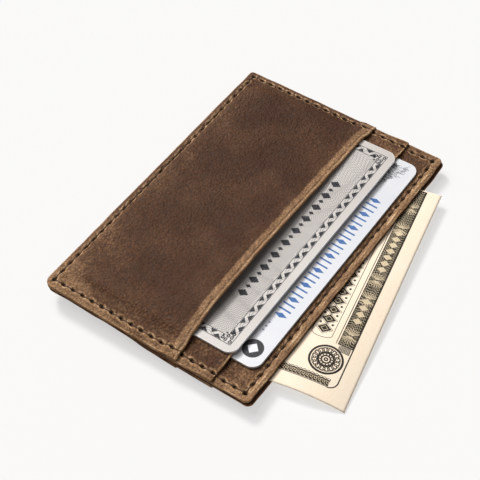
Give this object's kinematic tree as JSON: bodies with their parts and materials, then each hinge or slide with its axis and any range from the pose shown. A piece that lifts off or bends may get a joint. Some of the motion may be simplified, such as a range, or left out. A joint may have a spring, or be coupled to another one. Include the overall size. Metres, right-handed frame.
{
  "type": "card wallet",
  "caption": "Slim stitched leather card wallet with pockets on both faces and a central cash pocket, holding removable cards and a folded note.",
  "frame": {"origin": "centre of the wallet's back face, on the surface that it lies on, without counting what sticks out of its pockets", "axes": "+X along the wallet's long side, +Y from the closed long side to the open one, +Z out of the front face"},
  "size_m": [0.102, 0.0907, 0.0079],
  "materials": {
    "front_leather": "waxed pull-up leather, satin, worn pale at the folds and edges",
    "back_leather": "waxed pull-up leather, satin",
    "lining": "thin woven lining, matt",
    "thread": "waxed polyester thread",
    "payment_card": "satin plastic card with a printed border",
    "id_card": "satin plastic card with a pale print",
    "banknote": "cotton paper with a dark engraved print"
  },
  "bodies": {
    "wallet": {"front_pocket_panel": "front_leather", "second_front_pocket_panel": "front_leather", "front_divider_panel": "front_leather", "cash_pocket_lining": "lining", "back_divider_panel": "back_leather", "second_back_pocket_panel": "back_leather", "back_pocket_panel": "back_leather", "perimeter_needle_thread": "thread", "perimeter_bobbin_thread": "thread", "front_divider_edge_thread": "thread", "back_divider_edge_thread": "thread", "front_pocket_floor_thread": "thread", "back_pocket_floor_thread": "thread"},
    "payment_card": {"payment_card": "payment_card"},
    "id_card": {"id_card": "id_card"},
    "banknote": {"folded_banknote": "banknote"}
  },
  "joints": [
    {"name": "payment_card_slide", "type": "slide", "parent": "wallet", "child": "payment_card", "axis": [0, 1, 0], "range_m": [-0.0004, 0.045]},
    {"name": "id_card_slide", "type": "slide", "parent": "wallet", "child": "id_card", "axis": [0, 1, 0], "range_m": [-0.0005, 0.048]},
    {"name": "banknote_slide", "type": "slide", "parent": "wallet", "child": "banknote", "axis": [0, 1, 0], "range_m": [-0.003, 0.055]}
  ]
}
